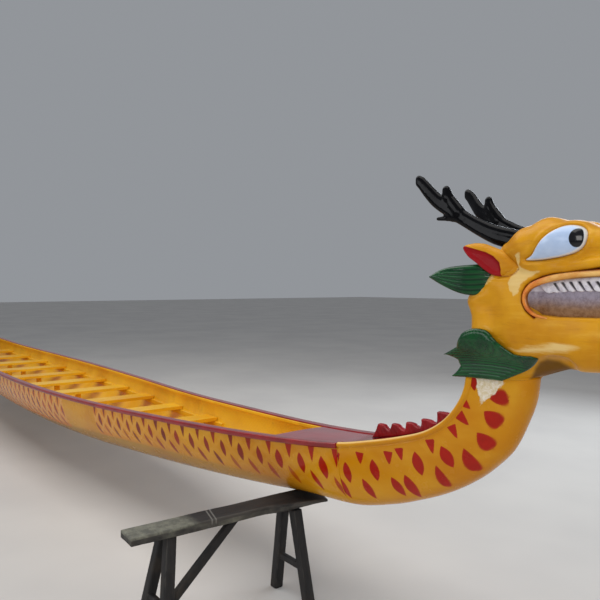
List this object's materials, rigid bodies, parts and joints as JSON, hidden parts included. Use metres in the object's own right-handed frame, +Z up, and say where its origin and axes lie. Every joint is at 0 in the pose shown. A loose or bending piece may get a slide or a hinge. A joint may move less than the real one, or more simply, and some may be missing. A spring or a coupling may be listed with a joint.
{
  "type": "dragon boat",
  "caption": "Long narrow paddled boat with a dragon head and tail, scale-patterned hull, crosswise seat planks and gunwale rails, resting on wooden trestles.",
  "frame": {"origin": "on the floor, amidships on the centreline of the hull, at the middle of the object's plan box", "axes": "+X to the bow and the dragon's head, +Y to port, +Z up"},
  "size_m": [14.37, 2.07, 2.1205],
  "materials": {
    "hull_gelcoat": "glossy yellow gelcoat with painted red scale marks",
    "inside_gelcoat": "semi-gloss yellow laminate",
    "rail_red": "glossy dark red paint",
    "deck_red": "glossy red paint",
    "flame_red": "glossy crimson paint",
    "tongue_red": "glossy red paint",
    "dragon_yellow": "brushed glossy yellow paint",
    "lip_orange": "brushed orange-brown paint",
    "eye_white": "glossy white paint with a black pupil",
    "tooth_white": "glossy white paint",
    "mouth_grey": "glossy lavender-grey paint, brown towards the jaw",
    "antler_black": "glossy black paint",
    "leaf_green": "glossy dark green paint over carved ribs",
    "trestle_timber": "old dark timber, worn"
  },
  "bodies": {
    "root": {"aft_deck": "deck_red", "antler_port": "antler_black", "antler_starboard": "antler_black", "bow_crest": "flame_red", "bow_piece": "hull_gelcoat", "bow_trestle_brace": "trestle_timber", "bow_trestle_far_legs": "trestle_timber", "bow_trestle_near_legs": "trestle_timber", "bow_trestle_plank": "trestle_timber", "cheek_leaf_port": "leaf_green", "cheek_leaf_starboard": "leaf_green", "ear_port": "dragon_yellow", "ear_starboard": "dragon_yellow", "eye_port": "eye_white", "eye_starboard": "eye_white", "foredeck": "deck_red", "gunwale_rail_port": "rail_red", "gunwale_rail_starboard": "rail_red", "head_skull": "dragon_yellow", "hull_aft_length": "hull_gelcoat", "hull_bow_length": "hull_gelcoat", "hull_fore_length": "hull_gelcoat", "hull_middle_length": "hull_gelcoat", "hull_stern_length": "hull_gelcoat", "keelson_aft": "inside_gelcoat", "keelson_fore": "inside_gelcoat", "keelson_middle": "inside_gelcoat", "lip_roll_port": "lip_orange", "lip_roll_starboard": "lip_orange", "lower_jaw": "dragon_yellow", "lower_teeth": "tooth_white", "mane_leaf_port": "leaf_green", "mane_leaf_starboard": "leaf_green", "mouth_lining": "mouth_grey", "nose": "dragon_yellow", "seat_01": "inside_gelcoat", "seat_02": "inside_gelcoat", "seat_03": "inside_gelcoat", "seat_04": "inside_gelcoat", "seat_05": "inside_gelcoat", "seat_06": "inside_gelcoat", "seat_07": "inside_gelcoat", "seat_08": "inside_gelcoat", "seat_09": "inside_gelcoat", "seat_10": "inside_gelcoat", "stern_crest": "flame_red", "stern_piece": "hull_gelcoat", "stern_trestle_brace": "trestle_timber", "stern_trestle_far_legs": "trestle_timber", "stern_trestle_near_legs": "trestle_timber", "stern_trestle_plank": "trestle_timber", "tail_body": "dragon_yellow", "tail_leaf_port": "leaf_green", "tail_leaf_starboard": "leaf_green", "tail_lower_fin": "flame_red", "tail_plume": "leaf_green", "tail_upper_fin": "flame_red", "tongue": "tongue_red", "upper_teeth": "tooth_white"}
  },
  "joints": []
}
